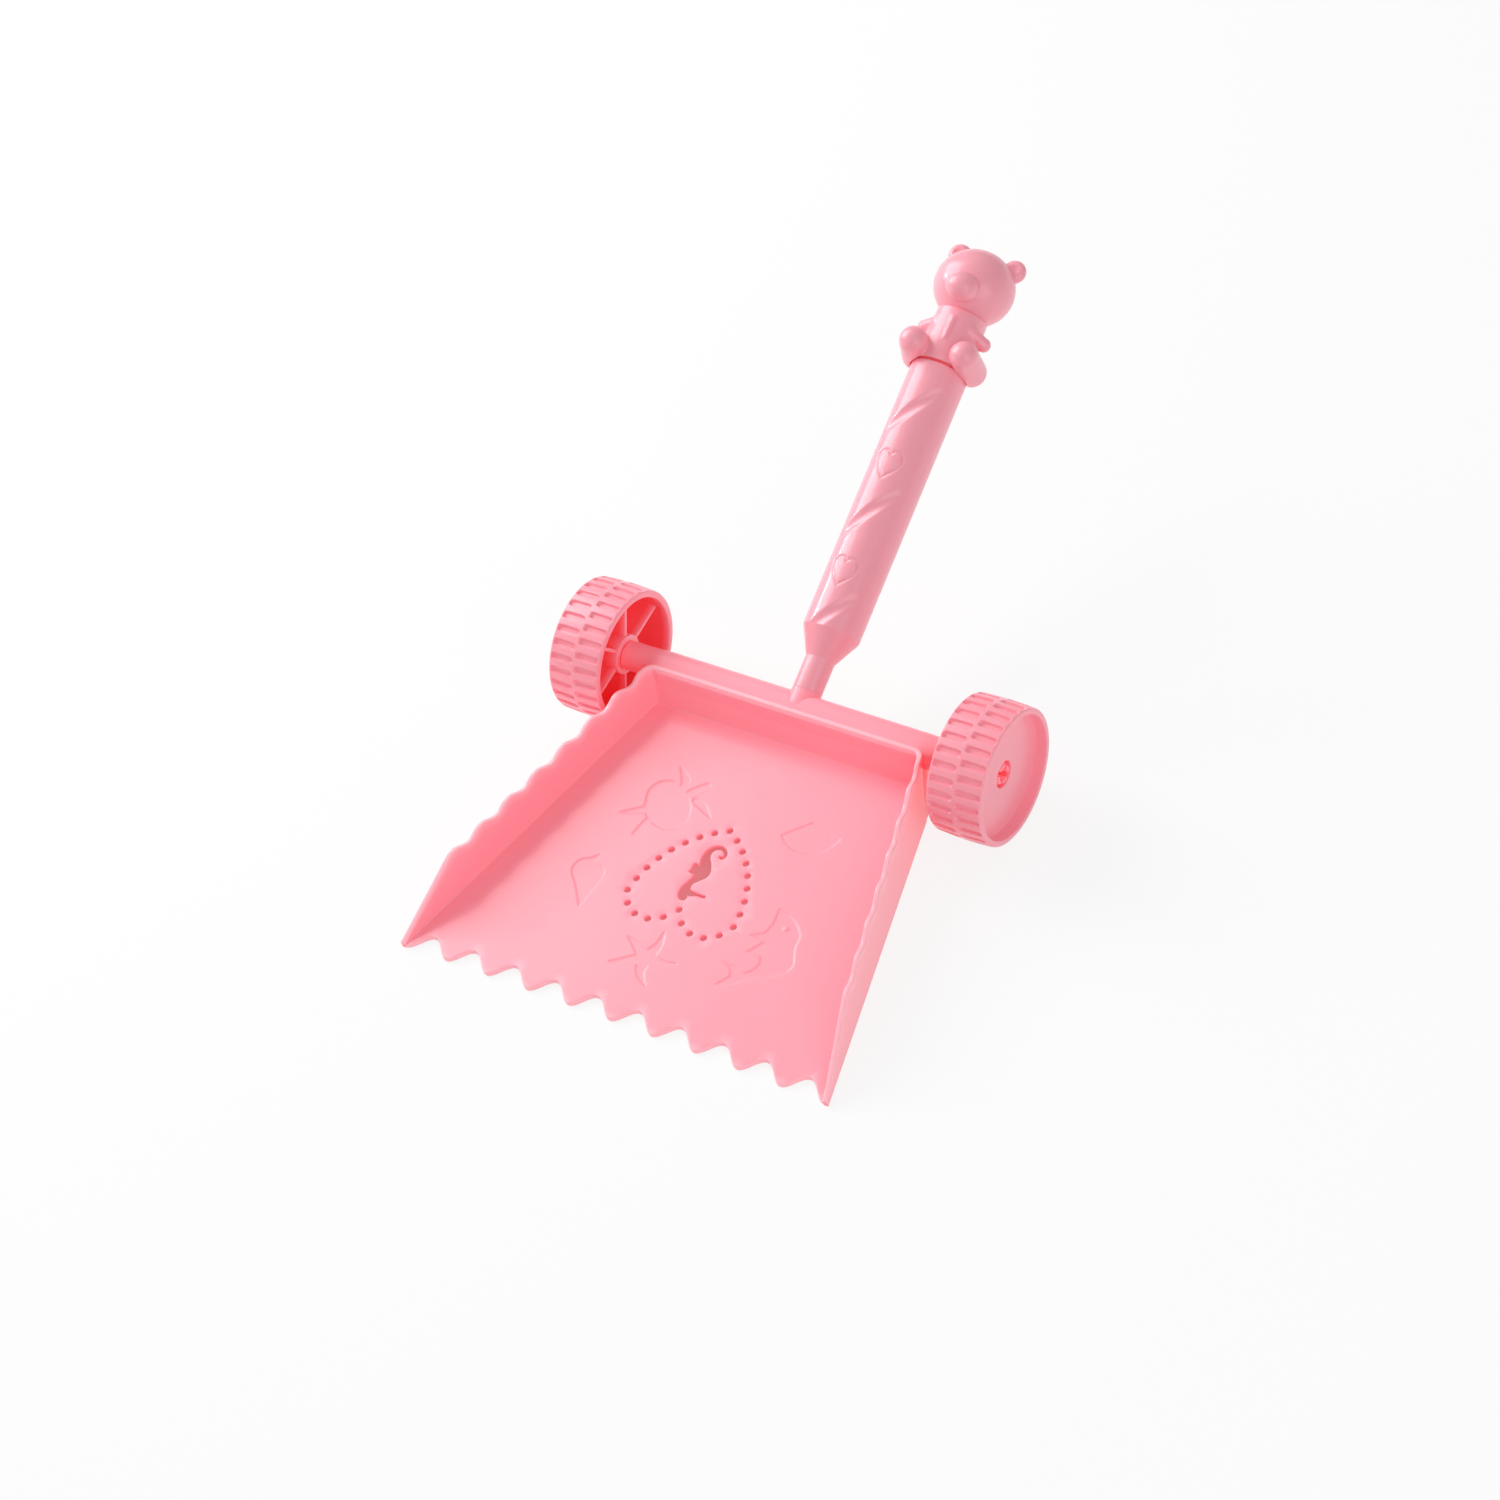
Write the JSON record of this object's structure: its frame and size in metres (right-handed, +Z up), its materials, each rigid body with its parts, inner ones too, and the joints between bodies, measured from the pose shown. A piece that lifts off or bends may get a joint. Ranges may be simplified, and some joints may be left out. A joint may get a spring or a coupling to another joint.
{
  "type": "wheeled sand shovel",
  "caption": "Toy sand shovel: a ramped scoop pan with wavy edges and a pierced floor, free-turning wheels on an axle beam and a hollow grip with a seated bear on top.",
  "frame": {"origin": "on the ground, midway between the wheels and straight below the axle", "axes": "+Z up, X along the axle, +Y from the mouth of the pan towards the grip"},
  "size_m": [0.2106, 0.3536, 0.1375],
  "materials": {
    "satin_pink": "satin moulded polypropylene",
    "wheel_pink": "satin moulded polypropylene",
    "gloss_pink": "glossy moulded polypropylene"
  },
  "bodies": {
    "shovel": {"scoop_pan": "satin_pink", "grip_handle": "gloss_pink", "bear_topper": "gloss_pink"},
    "left_wheel": {"left_wheel": "wheel_pink"},
    "right_wheel": {"right_wheel": "wheel_pink"}
  },
  "joints": [
    {"name": "left_wheel_spin", "type": "hinge", "parent": "shovel", "child": "left_wheel", "pos_m": [-0.0928, 0, 0.03], "axis": [1, 0, 0], "continuous": true},
    {"name": "right_wheel_spin", "type": "hinge", "parent": "shovel", "child": "right_wheel", "pos_m": [0.0928, 0, 0.03], "axis": [1, 0, 0], "continuous": true}
  ]
}
